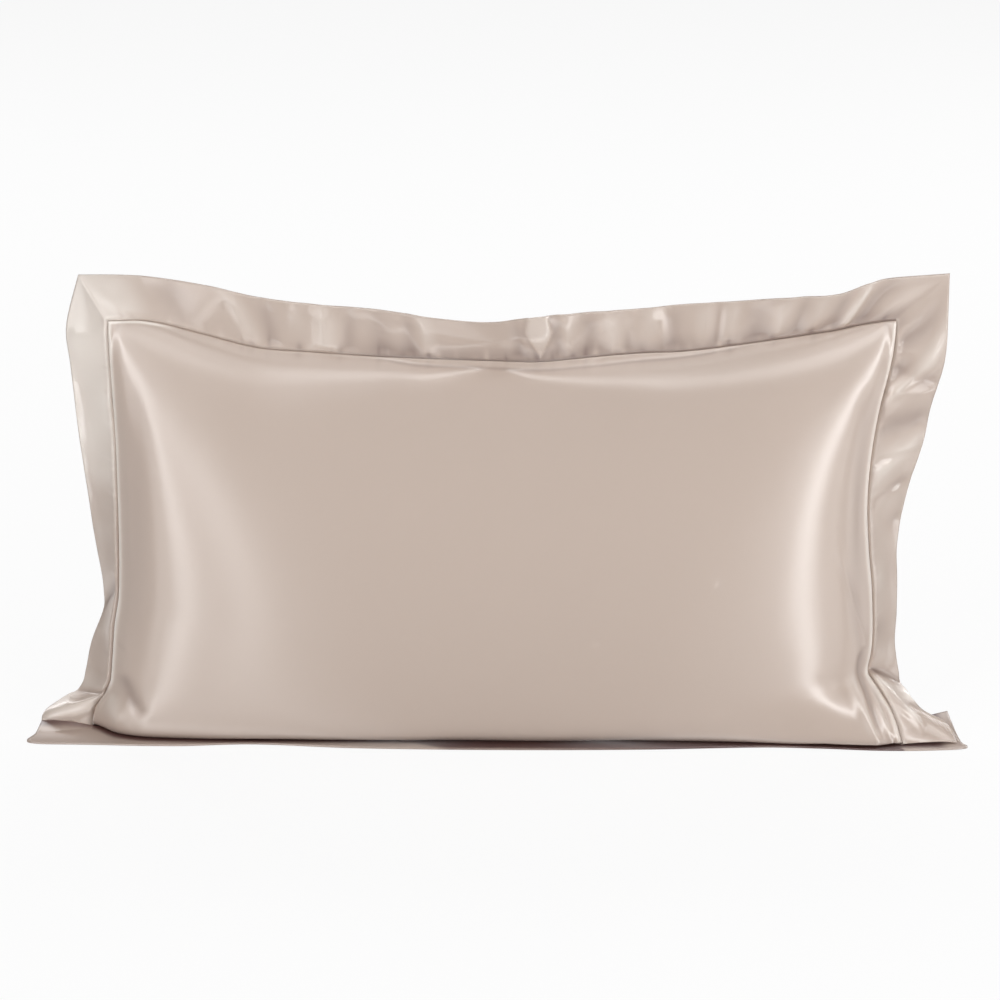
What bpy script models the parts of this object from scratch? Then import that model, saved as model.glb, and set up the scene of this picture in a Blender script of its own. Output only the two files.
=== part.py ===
"""A filled pillowcase with a flat border round it, standing on its lower long edge.

Two closed pieces: the filled body, and the doubled border outside the stitch line. The border stands
up along the top and sides, and folds forward on the floor along the lower edge. +X runs along the
case, +Y away from its front, +Z up, with the floor at Z = 0. All sizes are in millimetres until the
meshes are made.
"""

import math
from collections import namedtuple

import bmesh
import bpy
from mathutils import Vector
from mathutils.geometry import interpolate_bezier

MM = 0.001

# How full the body is, between the two panels.
HALF_DEPTH = 88.0  # from the seam plane to the deepest point of the crown
BACK_BASE = 44.0  # how far the flat that it stands on reaches behind the seam
DEEPEST_AT = 0.37  # of the height, where the crown is deepest
SEAM_HALF = 1.5  # half of the seam's thickness, where the two panels meet
CROWN_POWER = 2.7  # how square the crown is along the case
FOOT_POWER = 9.0  # the same for the flat that it stands on behind the seam
FRONT_FOOT_POWER = 36.0  # and in front of it
LEAST_TURN = 0.2  # of the base, how far the cloth runs on where it turns up
ROUND_BELOW, ROUND_ABOVE, SHOULDER = 0.42, 0.5, 0.14  # where the crown's curves get their handles

# The border and its clearances.
CLOTH = 2.0  # the doubled cloth
GAP = 0.3  # between the two pieces
CORNER_GAP = 0.8  # the same where the border turns from the floor to the side
LIFT = CLOTH + GAP  # what lies on the folded border is this high
STRAIGHT = 4.0  # the border leaves the seam straight for this far
SEAM_RUN = 12.0  # over this distance from the stitch line the seam reaches its full thickness

# The middle of the whole case along X and Y, which becomes the origin.
MIDDLE = Vector((-1.0, 0.2, 0.0))

# Champagne satin. The border takes less light, because it stands slack.
BODY_COLOUR = (0.61, 0.515, 0.445, 1.0)
BORDER_COLOUR = (0.578, 0.479, 0.407, 1.0)
ROUGHNESS = 0.38
SHARP_ANGLE = 50  # degrees, between faces that keep a hard edge

# Mesh density.
ALONG = 48  # steps along the case
AROUND = 30  # steps from the lower seam to the upper one
ACROSS = 5  # steps across the border
EASED = 3  # times that the front panel's points are eased towards their neighbours
EASED_ABOVE = 10.0  # the height where that starts
BUNCHED = 0.74  # how far grid lines crowd towards the seams, from 0 for even to 1
CURVE_STEPS = 40  # points on each half of a section

# Each row is one place along the border: the stitch line, how far the cloth bows out of line halfway
# across, and the outer edge.
Place = namedtuple("Place", "seam_x seam_y seam_z bow_y bow_z edge_x edge_y edge_z")

LEFT = (
    Place(-449, 0, 1.4, -3, 4, -506, 4, 5),
    Place(-448, 0, 12, -7, 6, -503, 10, 12),
    Place(-445, 0, 25, -9, 5, -486, 24, 21),
    Place(-435, 0, 40, -5, -3, -464, 38, 34),
    Place(-428, 0, 56, 4, 0, -458, 44, 52),
    Place(-425, 0, 85, 4, 0, -452, 48, 80),
    Place(-422, 0, 120, 3, 0, -439, 52, 116),
    Place(-417, 0, 152, 3, 0, -437, 51, 150),
    Place(-415, 0, 205, 5, 0, -444, 47, 203),
    Place(-415, 0, 280, 6, 0, -453, 41, 280),
    Place(-416, 0, 345, 5, 0, -460, 35, 346),
    Place(-419, 0, 405, 3, 0, -465, 32, 410),
    Place(-421, 0, 450, 2, 0, -468, 31, 458),
    Place(-421, 0, 473, 0, 0, -454, 34, 515),
)
TOP = (
    Place(-421, 0, 473, 0, 0, -454, 34, 515),
    Place(-376, 0, 472, 3, 0, -384, 14, 519),
    Place(-313, 0, 456, -3, 0, -313, 2, 512),
    Place(-260, 0, 442, 3, 0, -258, -2, 500),
    Place(-200, 0, 437, -4, 0, -198, -4, 493),
    Place(-130, 0, 432, 3, 0, -130, -8, 488),
    Place(-60, 0, 429, -4, 0, -62, -16, 480),
    Place(-5, 0, 427, 3, 0, -8, -22, 478),
    Place(46, 0, 426, -7, 0, 42, -18, 483),
    Place(108, 0, 432, 4, 0, 108, -9, 486),
    Place(155, 0, 436, -4, 0, 156, -3, 488),
    Place(200, 0, 438, 3, 0, 202, 2, 491),
    Place(250, 0, 444, -4, 0, 254, 0, 495),
    Place(312, 0, 453, 4, 0, 318, -12, 503),
    Place(362, 0, 461, -5, 0, 370, -14, 508),
    Place(398, 0, 469, 4, 0, 412, -6, 521),
    Place(430, 0, 473, 0, 0, 486, 2, 526),
)
RIGHT = (
    Place(444, -60, 3.5, 0, 1, 504, -55, 3.5),
    Place(441, -52, 13, -4, 4, 498, -26, 10),
    Place(437, -44, 25, -5, 5, 488, -11, 13),
    Place(431, -33, 37, -5, 5, 476, -8, 18),
    Place(422, -20, 49, -3, 3, 459, 10, 24),
    Place(415, -10, 57, 0, 1, 452, 21, 31),
    Place(410, 0, 67, 3, 0, 446, 38, 45),
    Place(411, 0, 92, 4, 0, 440, 44, 80),
    Place(412, 0, 118, 4, 0, 441, 44, 118),
    Place(410, 0, 165, 5, 0, 441, 44, 163),
    Place(406, 0, 205, 6, 0, 440, 43, 203),
    Place(403, 0, 262, 6, 0, 448, 34, 262),
    Place(406, 0, 320, 4, 0, 462, 18, 322),
    Place(414, 0, 375, -4, 0, 471, 6, 377),
    Place(426, 0, 430, -5, 0, 484, 2, 432),
    Place(430, 0, 473, 0, 0, 486, 2, 526),
)
FLOOR = (
    Place(-449, 0, 1.4, -3, 4, -506, 4, 5),
    Place(-432, 0, 1, 0, 0, -511, -24, 1),
    Place(-405, 0, 1, 0, 0, -515, -49, 1),
    Place(-378, 0, 1, 0, 0, -450, -54, 1),
    Place(-325, 0, 1, 0, 0, -355, -58, 1),
    Place(-250, 0, 1, 0, 0, -268, -53, 1),
    Place(-150, 0, 1, 0, 0, -155, -64, 1),
    Place(0, 0, 1, 0, 0, 0, -69, 1),
    Place(150, 0, 1, 0, 0, 155, -68, 1),
    Place(265, 0, 1, 0, 0, 283, -62, 1),
    Place(325, 0, 1, 0, 0, 352, -65, 1),
    Place(365, 0, 1, 0, 0, 415, -71, 1),
    Place(388, 0, 1, 0, 0, 468, -71, 1),
    Place(414, 0, 1, 0, 0, 513, -65, 1),
    Place(427, 0, 1, 0, 0, 509, -48, 1),
    Place(438, 3, 1, 0, 0, 505, -14, 1),
    Place(448, 14, 1, 0, 0, 501, 41, 1),
)
TOP_LEFT = TOP[0].seam_x
TOP_SPAN = TOP[-1].seam_x - TOP[0].seam_x
CORNER_HEIGHT = TOP[0].seam_z

LEFT_PINCH, RIGHT_PINCH = LEFT[4], RIGHT[6]
FLARE_POWER = 5.0  # how close to the side seams the flare below the pinches stays

# How far in front of the seam the body rests on the folded border.
Foot = namedtuple("Foot", "x front")

FEET = (
    Foot(-449, 0),
    Foot(-425, 25),
    Foot(-395, 36),
    Foot(-330, 40),
    Foot(-110, 42),
    Foot(80, 44),
    Foot(220, 46),
    Foot(330, 56),
    Foot(400, 68),
    Foot(425, 70),
    Foot(444, 68),
)

# The corner at the lower right is pulled forward over the folded border, from this far along.
RAISED_FROM, RAISED_BY = 0.74, 0.84
PULLED_FROM = 0.84

# Below this height the body is lifted where it lies on the folded border.
LOW_BELOW = 40.0
# The folds die out near the seams, over these shares of the length and the height, and this depth.
FOLD_EDGES, FOLD_DEPTH = (0.06, 0.2), 12.0

# Soft folds of the front panel: from one point to another, half their width, and how far in they go.
Fold = namedtuple("Fold", "x0 z0 x1 z1 half_width inward")

FOLDS = (
    Fold(-406, 58, -392, 28, 11, 6),
    Fold(-382, 62, -374, 24, 12, -3),
    Fold(406, 330, 394, 120, 12, 4),
    Fold(409, 66, 424, 20, 7, -4),
    Fold(399, 68, 412, 34, 8, 4),
    Fold(386, 72, 408, 22, 11, -4),
)


def clear_scene():
    """Removes what the startup file holds."""
    for obj in list(bpy.data.objects):
        bpy.data.objects.remove(obj, do_unlink=True)


def smooth(share):
    """A share from 0 to 1 that starts and ends gently."""
    share = min(max(share, 0.0), 1.0)
    return share * share * (3.0 - 2.0 * share)


def between(before, start, end, after, share):
    """A curve from start to end that leaves and arrives along the line of its neighbours."""
    out, back = (end - before) / 2, (after - start) / 2
    return (
        start
        + out * share
        + (3 * (end - start) - 2 * out - back) * share**2
        + (2 * (start - end) + out + back) * share**3
    )


def through(rows, key, at):
    """The row of a table where one column has a value, on a smooth curve through the rows."""
    column = [getattr(row, key) for row in rows]
    i = max(k for k in range(len(column) - 1) if column[k] <= at or k == 0)
    near = [rows[min(max(k, 0), len(rows) - 1)] for k in (i - 1, i, i + 1, i + 2)]
    share = min(max((at - column[i]) / (column[i + 1] - column[i]), 0.0), 1.0)
    return type(rows[0])(*(between(*four, share) for four in zip(*near)))


def spaced(share):
    """Places grid lines from -1 to 1 closer together towards both ends."""
    return math.sin(share * math.pi / 2) * BUNCHED + share * (1 - BUNCHED)


def crown(a, power):
    """How full the body is along the case, from 0 at a side seam to 1 in the middle."""
    return max(1.0 - abs(a) ** power, 0.0) ** 0.5


def section(base, deep, height):
    """Points from the lower seam, out along the base, round the crown and up to the upper seam."""
    deepest = DEEPEST_AT * height
    turn = (deep - base) / 2 if deep > base else LEAST_TURN * base
    lower = [(base, 0), (base + turn, 0), (deep, ROUND_BELOW * deepest), (deep, deepest)]
    upper = [
        (deep, deepest),
        (deep, deepest + ROUND_ABOVE * (height - deepest)),
        (deep / 2, height - SHOULDER * deep),
        (0, height),
    ]
    points = [Vector((0, 0, 0))]
    for curve in (lower, upper):
        points += interpolate_bezier(*(Vector((y, z, 0)) for y, z in curve), CURVE_STEPS)
    return points


def along_section(points, share):
    """The point at a share of a section's length."""
    lengths = [(q - p).length for p, q in zip(points, points[1:])]
    left = share * sum(lengths)
    for p, q, length in zip(points, points[1:], lengths):
        if left <= length:
            return p.lerp(q, left / length) if length else p
        left -= length
    return points[-1]


def fold_depth(x, z):
    """How far all the folds push the front panel inward at a place."""
    total = 0.0
    for fold in FOLDS:
        line = Vector((fold.x1 - fold.x0, fold.z1 - fold.z0))
        offset = Vector((x - fold.x0, z - fold.z0))
        share = offset.dot(line) / line.length_squared
        aside = (offset - line * min(max(share, 0.0), 1.0)).length
        total += fold.inward * math.exp(-((aside / fold.half_width) ** 2))
    return total


def pull(a, seam_y):
    """How far the lower right corner is pulled forward, given the seam's own place."""
    return seam_y * smooth((a - PULLED_FROM) / (1 - PULLED_FROM))


def section_at(a, front):
    """The body's section at a share of its length, -1 to 1."""
    height = through(TOP, "seam_x", TOP_LEFT + (a + 1) / 2 * TOP_SPAN).seam_z
    base = BACK_BASE * crown(a, FOOT_POWER)
    if front:
        x = FLOOR[0].seam_x + (a + 1) / 2 * (FEET[-1].x - FEET[0].x)
        base = through(FEET, "x", x).front + pull(a, RIGHT[0].seam_y)
        base = max(base, 0) * crown(a, FRONT_FOOT_POWER)
    return section(base, HALF_DEPTH * crown(a, CROWN_POWER), height), height


def across_body(a, left, right, level):
    """X between the two side seams. Below their pinches the seams flare out, and the middle less so."""
    flare_left = left - LEFT_PINCH.seam_x if level < LEFT_PINCH.seam_z else 0
    flare_right = right - RIGHT_PINCH.seam_x if level < RIGHT_PINCH.seam_z else 0
    start, end = left - flare_left, right - flare_right
    x = start + (end - start) * (a + 1) / 2
    return x + flare_left * ((1 - a) / 2) ** FLARE_POWER + flare_right * ((1 + a) / 2) ** FLARE_POWER


def body_point(a, b, front):
    """A point of one panel. a runs from the left seam to the right one, b from the lower to the upper."""
    points, span = section_at(a, front)
    place = along_section(points, (b + 1) / 2)
    depth, height = place.x, place.y
    seam = SEAM_HALF * smooth((height + depth) / SEAM_RUN)
    low = 1 - smooth(height / LOW_BELOW)
    raised = LIFT * smooth((a - RAISED_FROM) / (RAISED_BY - RAISED_FROM))
    height += low * (raised + (LIFT if front else 0))
    level = min(height * CORNER_HEIGHT / span, CORNER_HEIGHT)
    left, right = through(LEFT, "seam_z", level), through(RIGHT, "seam_z", level)
    x = across_body(a, left.seam_x, right.seam_x, level)
    pulled = pull(a, right.seam_y)
    if not front:
        return Vector((x, pulled + depth + seam, height)) * MM
    inside = smooth((1 - abs(a)) / FOLD_EDGES[0]) * smooth((b + 1) / FOLD_EDGES[1])
    inside *= smooth(depth / FOLD_DEPTH)
    depth -= fold_depth(x, height) * inside
    return Vector((x, pulled - depth - seam, height)) * MM


def panel(bm, front):
    """Adds one panel of the body as a grid."""
    made = bmesh.ops.create_grid(bm, x_segments=ALONG, y_segments=AROUND, size=1.0)["verts"]
    for vert in made:
        vert.co = body_point(spaced(vert.co.x), spaced(vert.co.y), front)
    if front:
        inner = [vert for vert in made if not vert.is_boundary and vert.co.z > EASED_ABOVE * MM]
        for _ in range(EASED):
            bmesh.ops.smooth_vert(
                bm, verts=inner, factor=0.5, use_axis_x=True, use_axis_y=True, use_axis_z=True
            )
    else:
        faces = {face for vert in made for face in vert.link_faces}
        bmesh.ops.reverse_faces(bm, faces=list(faces))


def satin(name, colour):
    """A satin material."""
    material = bpy.data.materials.new(name)
    material.use_nodes = True
    shader = material.node_tree.nodes["Principled BSDF"]
    shader.inputs["Base Color"].default_value = colour
    shader.inputs["Roughness"].default_value = ROUGHNESS
    shader.inputs["Metallic"].default_value = 0.0
    return material


def finish(bm, name, colour):
    """Makes a smooth-shaded mesh object from a bmesh, with the case's middle at the origin."""
    mesh = bpy.data.meshes.new(name)
    bmesh.ops.recalc_face_normals(bm, faces=bm.faces)
    bmesh.ops.translate(bm, verts=bm.verts, vec=-MIDDLE * MM)
    bm.to_mesh(mesh)
    bm.free()
    mesh.shade_smooth()
    mesh.set_sharp_from_angle(angle=math.radians(SHARP_ANGLE))
    mesh.materials.append(satin(name, colour))
    return bpy.data.objects.new(name, mesh)


def make_body():
    """The filled body: two crowned panels, joined all round by the blunt edge of the seam."""
    bm = bmesh.new()
    panel(bm, True)
    panel(bm, False)
    rim = [edge for edge in bm.edges if edge.is_boundary]
    bmesh.ops.bridge_loops(bm, edges=rim)
    return finish(bm, "pillow_body", BODY_COLOUR)


def side_places(rows, key, steps, back):
    """Rows of one side's table at the body's own grid lines, without the last one."""
    low, high = getattr(rows[0], key), getattr(rows[-1], key)
    for k in range(steps):
        share = (spaced(2 * k / steps - 1) + 1) / 2
        yield through(rows, key, low + (high - low) * (1 - share if back else share))


def border_places():
    """Rows of the tables along the whole border, from its end under the lower right corner."""
    places = list(side_places(FLOOR, "seam_x", ALONG, True))
    places += side_places(LEFT, "seam_z", AROUND, False)
    places += side_places(TOP, "seam_x", ALONG, False)
    places += side_places(RIGHT, "seam_z", AROUND, True)
    return places + [RIGHT[0]]


def seam_points():
    """The middle of the body's blunt edge at each place of the border."""
    grid = [spaced(2 * k / ALONG - 1) for k in range(ALONG)]
    rise = [spaced(2 * k / AROUND - 1) for k in range(AROUND)]
    spots = [(-a, -1) for a in grid] + [(-1, b) for b in rise]
    spots += [(a, 1) for a in grid] + [(1, -b) for b in rise] + [(1, -1)]
    for a, b in spots:
        front, back = (body_point(a, b, side) / MM for side in (True, False))
        yield (front + back) / 2


def border_rows():
    """Along the whole border: its points from the seam to the outer edge at each place."""
    places, seam = border_places(), list(seam_points())
    last = len(seam) - 1
    for i, row in enumerate(places):
        along = seam[min(i + 1, last)] - seam[max(i - 1, 0)]
        away = Vector((-along.z, 0, along.x)).normalized()
        if i < ALONG:
            seam[i] = Vector((row.seam_x, row.seam_y, row.seam_z))
            away = Vector((0, -1, 0))
        elif i == ALONG:
            seam[i].z = row.seam_z
            away = Vector((-1, -1, 0)).normalized()
        inner = seam[i] + away * (CORNER_GAP if i in (ALONG, last) else GAP)
        bend = inner + away * STRAIGHT
        outer = Vector((row.edge_x, row.edge_y, row.edge_z))
        bow = Vector((0, row.bow_y, row.bow_z))
        shares = [k / (ACROSS - 1) for k in range(ACROSS)]
        points = [inner] + [bend.lerp(outer, s) + bow * (4 * s * (1 - s)) for s in shares]
        yield [Vector((p.x, p.y, max(p.z, CLOTH / 2))) for p in points]


def make_border():
    """The border: the seam's edge drawn out in rows to the outer edge, then given its thickness."""
    bm = bmesh.new()
    rows = list(border_rows())
    line = [bm.verts.new(points[0] * MM) for points in rows]
    edges = [bm.edges.new(pair) for pair in zip(line, line[1:])]
    for step in range(1, ACROSS + 1):
        made = bmesh.ops.extrude_edge_only(bm, edges=edges)["geom"]
        line = [item for item in made if isinstance(item, bmesh.types.BMVert)]
        for vert, points in zip(line, rows):
            vert.co = points[step] * MM
        edges = [edge for edge in made if isinstance(edge, bmesh.types.BMEdge)]
        edges = [edge for edge in edges if all(vert in line for vert in edge.verts)]
    border = finish(bm, "flange_border", BORDER_COLOUR)
    doubled = border.modifiers.new("doubled cloth", "SOLIDIFY")
    doubled.thickness = CLOTH * MM
    doubled.offset = 0
    return border


def main():
    clear_scene()
    pillowcase = bpy.data.collections.new("pillowcase")
    bpy.context.scene.collection.children.link(pillowcase)
    pillowcase.objects.link(make_body())
    pillowcase.objects.link(make_border())


main()
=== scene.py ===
"""A filled satin pillowcase with a flat border, standing on its lower long edge.

The fine body and border follow the same named places as their solids, with the pinches, puckers,
stitching and creases of sewn satin added. +X runs along the case, +Y away from its front, +Z up.
Sizes are in millimetres until a mesh is finished.
"""

import math
from collections import namedtuple
from functools import lru_cache

import bmesh
import bpy
import numpy as np
from mathutils import Matrix, Vector, noise
from mathutils.geometry import interpolate_bezier


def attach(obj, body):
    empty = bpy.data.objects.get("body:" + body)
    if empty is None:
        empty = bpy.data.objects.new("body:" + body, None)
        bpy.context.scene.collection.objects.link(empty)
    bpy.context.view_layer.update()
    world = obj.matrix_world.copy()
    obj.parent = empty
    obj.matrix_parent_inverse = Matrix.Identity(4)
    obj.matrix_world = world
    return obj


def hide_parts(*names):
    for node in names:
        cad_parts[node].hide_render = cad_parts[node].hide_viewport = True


MM = 0.001
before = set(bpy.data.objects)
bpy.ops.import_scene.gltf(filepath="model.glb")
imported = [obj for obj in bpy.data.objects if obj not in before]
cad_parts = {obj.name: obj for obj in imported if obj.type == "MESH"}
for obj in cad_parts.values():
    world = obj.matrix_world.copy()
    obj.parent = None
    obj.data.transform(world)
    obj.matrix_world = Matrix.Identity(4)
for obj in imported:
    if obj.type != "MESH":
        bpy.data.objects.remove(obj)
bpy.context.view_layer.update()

# ---------------------------------------------------------------------------- camera
CAMERA_TILT = 70.0  # degrees from straight down
CAMERA_AT = (0.003, -5.6384, 2.3191)
LENS = 197.8

camera = bpy.data.objects.new("camera", bpy.data.cameras.new("camera"))
camera.data.lens = LENS
camera.data.sensor_width = 36.0
camera.data.clip_end = 60.0
camera.location = CAMERA_AT
camera.rotation_euler = (math.radians(CAMERA_TILT), 0.0, 0.0)
bpy.context.scene.collection.objects.link(camera)
bpy.context.scene.camera = camera

# ---------------------------------------------------------------------------- the case's places
HALF_DEPTH = 88.0  # from the seam plane to the deepest point of the crown
BACK_BASE = 44.0  # how far the flat that it stands on reaches behind the seam
DEEPEST_AT = 0.37  # of the height, where the crown is deepest
SEAM_HALF = 1.5  # half of the seam's thickness, where the two panels meet
CROWN_POWER = 2.7  # how square the crown is along the case
FOOT_POWER = 9.0  # the same for the flat that it stands on behind the seam
FRONT_FOOT_POWER = 36.0  # and in front of it
LEAST_TURN = 0.1  # of the base, how far the cloth runs on where it turns up
TURN_EASED = 16.0  # how softly the one way of turning up gives way to the other
ROUND_BELOW, ROUND_ABOVE, SHOULDER = 0.42, 0.5, 0.36  # where the crown's curves get their handles

CLOTH = 2.0  # what the doubled cloth takes up
BORDER_CLOTH = 1.6  # how thick it is made here
GAP = 0.3  # between the two pieces
CORNER_GAP = 0.8  # the same where the border turns from the floor to the side
CUT_WIDTH = 57.0  # the border's width as it is cut
LIFT = CLOTH + GAP  # what lies on the folded border is this high
STRAIGHT = 4.0  # the border leaves the seam straight for this far
TOP_BOW = 0.3  # how much of the solid's bow the upper border keeps, as its ripples take its place
SEAM_RUN = 12.0  # over this distance from the stitch line the seam reaches its full thickness
MIDDLE = Vector((-1.0, 0.2, 0.0))  # the middle of the whole case, which becomes the origin

ALONG, AROUND = 240, 140  # steps of the body's panels along and up
BORDER_ALONG, BORDER_AROUND, ACROSS = 540, 280, 26  # steps of the border along, up and across
EASED = 6  # times that a panel's points are eased towards their neighbours
BUNCHED = 0.74  # how far grid lines crowd towards the seams, from 0 for even to 1
BORDER_BUNCHED = 0.45
PANEL_RUN = 530.0  # the length of a panel's cloth from the lower seam to the upper one
CORNER_EASED, CORNER_REACH = 1500, 62  # how often and how far the border is eased at its upper corners
EDGE_EASED = 400  # the same for its outer edge alone
CURVE_STEPS = 60  # points on each half of a section
FOLD_STEPS = 10  # straight parts of a fold's line
FLAT_HALF = 0.6  # of the corner's height, half the flat cloth of a panel from seam to seam
FACING_LINE = 5  # the line of the border that shows which way its faces point

Place = namedtuple("Place", "seam_x seam_y seam_z bow_y bow_z edge_x edge_y edge_z")

LEFT = (
    Place(-449, 0, 1.4, -3, 4, -506, 4, 5),
    Place(-448, 0, 12, -7, 6, -503, 10, 12),
    Place(-445, 0, 25, -9, 5, -486, 24, 21),
    Place(-435, 0, 40, -5, -3, -464, 38, 34),
    Place(-428, 0, 56, 4, 0, -458, 44, 52),
    Place(-425, 0, 85, 4, 0, -452, 48, 80),
    Place(-422, 0, 120, 3, 0, -439, 52, 116),
    Place(-417, 0, 152, 3, 0, -437, 51, 150),
    Place(-415, 0, 205, 5, 0, -444, 47, 203),
    Place(-415, 0, 280, 6, 0, -453, 41, 280),
    Place(-416, 0, 345, 5, 0, -460, 35, 346),
    Place(-419, 0, 405, 3, 0, -465, 32, 410),
    Place(-421, 0, 450, 2, 0, -468, 31, 458),
    Place(-421, 0, 473, 0, 0, -454, 34, 515),
)
TOP = (
    Place(-421, 0, 473, 0, 0, -454, 34, 515),
    Place(-376, 0, 472, 3, 0, -384, 14, 519),
    Place(-313, 0, 456, -3, 0, -313, 2, 512),
    Place(-260, 0, 442, 3, 0, -258, -2, 500),
    Place(-200, 0, 437, -4, 0, -198, -4, 493),
    Place(-130, 0, 432, 3, 0, -130, -8, 488),
    Place(-60, 0, 429, -4, 0, -62, -16, 480),
    Place(-5, 0, 427, 3, 0, -8, -22, 478),
    Place(46, 0, 426, -7, 0, 42, -18, 483),
    Place(108, 0, 432, 4, 0, 108, -9, 486),
    Place(155, 0, 436, -4, 0, 156, -3, 488),
    Place(200, 0, 438, 3, 0, 202, 2, 491),
    Place(250, 0, 444, -4, 0, 254, 0, 495),
    Place(312, 0, 453, 4, 0, 318, -12, 503),
    Place(362, 0, 461, -5, 0, 370, -14, 508),
    Place(398, 0, 469, 4, 0, 412, -6, 521),
    Place(430, 0, 473, 0, 0, 486, 2, 526),
)
RIGHT = (
    Place(444, -60, 3.5, 0, 1, 504, -55, 3.5),
    Place(441, -52, 13, -4, 4, 498, -26, 10),
    Place(437, -44, 25, -5, 5, 488, -11, 13),
    Place(431, -33, 37, -5, 5, 476, -8, 18),
    Place(422, -20, 49, -3, 3, 459, 10, 24),
    Place(415, -10, 57, 0, 1, 452, 21, 31),
    Place(407, 0, 67, 3, 0, 446, 38, 45),
    Place(411, 0, 92, 4, 0, 440, 44, 80),
    Place(412, 0, 118, 4, 0, 441, 44, 118),
    Place(410, 0, 165, 5, 0, 441, 44, 163),
    Place(406, 0, 205, 6, 0, 440, 43, 203),
    Place(403, 0, 262, 6, 0, 448, 34, 262),
    Place(406, 0, 320, 4, 0, 462, 18, 322),
    Place(414, 0, 375, -4, 0, 471, 6, 377),
    Place(426, 0, 430, -5, 0, 484, 2, 432),
    Place(430, 0, 473, 0, 0, 486, 2, 526),
)
FLOOR = (
    Place(-449, 0, 1.4, -3, 4, -506, 4, 5),
    Place(-432, 0, 1, 0, 0, -511, -24, 1),
    Place(-405, 0, 1, 0, 0, -515, -49, 1),
    Place(-378, 0, 1, 0, 0, -450, -54, 1),
    Place(-325, 0, 1, 0, 0, -355, -58, 1),
    Place(-250, 0, 1, 0, 0, -268, -53, 1),
    Place(-150, 0, 1, 0, 0, -155, -64, 1),
    Place(0, 0, 1, 0, 0, 0, -69, 1),
    Place(150, 0, 1, 0, 0, 155, -68, 1),
    Place(265, 0, 1, 0, 0, 283, -62, 1),
    Place(325, 0, 1, 0, 0, 352, -65, 1),
    Place(365, 0, 1, 0, 0, 415, -71, 1),
    Place(388, 0, 1, 0, 0, 468, -71, 1),
    Place(414, 0, 1, 0, 0, 513, -65, 1),
    Place(427, 0, 1, 0, 0, 509, -48, 1),
    Place(438, 3, 1, 0, 0, 505, -14, 1),
    Place(448, 14, 1, 0, 0, 501, 41, 1),
)
TOP_LEFT = TOP[0].seam_x
TOP_SPAN = TOP[-1].seam_x - TOP[0].seam_x
CORNER_HEIGHT = TOP[0].seam_z
LEFT_PINCH, RIGHT_PINCH = LEFT[4], RIGHT[6]
FLARE_POWER = 5.0  # how close to the side seams the flare below the pinches stays

Foot = namedtuple("Foot", "x front")
FEET = (
    Foot(-449, 0),
    Foot(-425, 25),
    Foot(-395, 36),
    Foot(-330, 40),
    Foot(-110, 42),
    Foot(80, 44),
    Foot(220, 46),
    Foot(330, 56),
    Foot(400, 68),
    Foot(425, 70),
    Foot(444, 68),
)
RAISED_FROM, RAISED_BY = 0.74, 0.84  # where along the body it starts to lie on the folded corner
PULLED_FROM, PULL_POWER = 0.55, 3.6  # where the corner's pull starts, and how late it comes
LOW_BELOW = 40.0  # below this height the body is lifted where it lies on the folded border

# The flat strip between the upper stitch line and the crease where the filling starts.
Strip = namedtuple("Strip", "x drop")
STRIPS = (
    Strip(-421, 0),
    Strip(-160, 0.8),
    Strip(-126, 2),
    Strip(-88, 6.5),
    Strip(-39, 6.5),
    Strip(4, 7),
    Strip(47, 8),
    Strip(104, 9),
    Strip(153, 7.5),
    Strip(196, 5.5),
    Strip(260, 2),
    Strip(313, 0.5),
    Strip(430, 0),
)

# ---------------------------------------------------------------------------- folds and puckers
# A soft fold of the front panel, from one point by a bend to another. Its lift is outward; its dark is the
# painted shade along it, and below 0 a painted highlight.
Fold = namedtuple("Fold", "x0 z0 x1 z1 x2 z2 wide lift0 lift1 lift2 dark", defaults=(0.0,))
FOLDS = (
    # the dimple at the lower left, the ridge to its right and the lobe to its left
    Fold(-415, 74, -406, 54, -398, 38, 8, 0.0, -3.6, -1.6, 0.24),
    Fold(-399, 40, -393, 35, -384, 40, 6, -0.6, -0.8, 0.0, 0.06),
    Fold(-427, 48, -428, 32, -416, 18, 9, 0.5, 2.0, 0.5, -0.35),
    # the hollow beside each side seam
    Fold(-400, 430, -388, 260, -404, 80, 16, 0.0, -4.0, 0.0, 0.04),
    Fold(404, 410, 388, 270, 398, 100, 10, 0.0, -5.0, 0.0, 0.06),
    # the thin crease that runs into the right pinch, with its shaded side
    Fold(364, 240, 384, 180, 405, 104, 2.8, 0.0, 1.6, 1.8),
    Fold(374, 210, 396, 160, 402, 92, 6, 0.0, -3.0, -1.0, 0.05),
    # the pinch, and the ridges and hollows that fan out below it
    Fold(403, 100, 394, 84, 402, 62, 4.5, -1.0, -5.5, -1.0, 0.25),
    Fold(399, 68, 409, 44, 420, 16, 4.0, -0.5, -6.0, -1.0, 0.22),
    Fold(384, 80, 396, 52, 416, 12, 6, 0.3, 4.5, 2.0, -0.3),
    Fold(407, 71, 417, 42, 434, 14, 3.0, 0.5, 4.5, 2.0, -0.45),
    Fold(413, 56, 426, 34, 434, 10, 4.5, -0.5, -3.0, -1.5, 0.12),
    # small marks on the face
    Fold(234, 199, 236, 198, 238, 197, 4, 0.5, 0.7, 0.5, -0.25),
    Fold(104, 136, 106, 132, 107, 128, 2.5, 0.4, 0.5, 0.4, -0.15),
    Fold(-420, 108, -415, 104, -409, 101, 3, 0.6, 1.0, 0.2, 0.1),
)

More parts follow.
